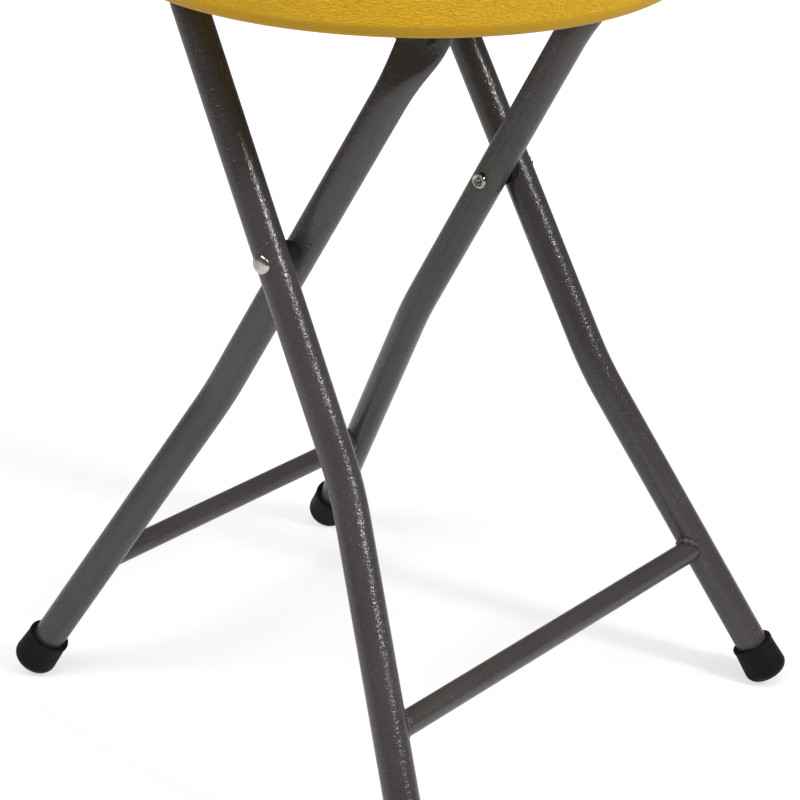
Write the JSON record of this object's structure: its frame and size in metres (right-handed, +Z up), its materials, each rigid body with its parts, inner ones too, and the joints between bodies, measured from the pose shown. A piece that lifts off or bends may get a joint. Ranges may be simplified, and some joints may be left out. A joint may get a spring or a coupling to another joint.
{
  "type": "folding stool",
  "caption": "Round-seated folding stool: crossing tubular steel frames riveted where they cross, pinned and hooked under a moulded plastic seat that tips up as the legs close.",
  "frame": {"origin": "middle of the footprint on the floor, under the rivet axis", "axes": "+X along the rivet axis to the stool's right, +Y from the hinged front of the seat to the hooked back, +Z up"},
  "size_m": [0.3488, 0.3504, 0.47],
  "materials": {
    "seat_plastic": "golden yellow blow-moulded polyethylene with a leather-like grain",
    "frame_paint": "dark grey hammered powder coat, satin",
    "rail_paint": "dark grey powder coat",
    "plated_steel": "bright zinc plate",
    "screw_steel": "zinc plate",
    "bush_plastic": "black nylon",
    "foot_rubber": "black rubber, matt"
  },
  "bodies": {
    "inner_frame": {"inner_leg_left": "frame_paint", "inner_leg_right": "frame_paint", "inner_crossbar": "frame_paint", "inner_foot_left": "foot_rubber", "inner_foot_right": "foot_rubber"},
    "outer_frame": {"outer_frame_tube": "frame_paint", "outer_crossbar": "frame_paint", "outer_foot_left": "foot_rubber", "outer_foot_right": "foot_rubber", "scissor_rivet_left": "plated_steel", "scissor_rivet_right": "plated_steel", "scissor_spacer_left": "bush_plastic", "scissor_spacer_right": "bush_plastic"},
    "seat": {"seat_shell": "seat_plastic", "seat_rail_left": "rail_paint", "seat_rail_right": "rail_paint", "rail_screws": "screw_steel", "seat_hinge_pin_left": "plated_steel", "seat_hinge_pin_right": "plated_steel", "seat_hinge_washer_left": "bush_plastic", "seat_hinge_washer_right": "bush_plastic"}
  },
  "joints": [
    {"name": "leg_scissor", "type": "hinge", "parent": "inner_frame", "child": "outer_frame", "pos_m": [0, 0, 0.301], "axis": [1, 0, 0], "range_deg": [0, 49.5]},
    {"name": "seat_hinge", "type": "hinge", "parent": "inner_frame", "child": "seat", "pos_m": [0, -0.07572, 0.4365], "axis": [1, 0, 0], "range_deg": [0, 105]}
  ],
  "couplings": [
    {"joint": "seat_hinge", "follows": "leg_scissor", "ratio": 2.12}
  ]
}
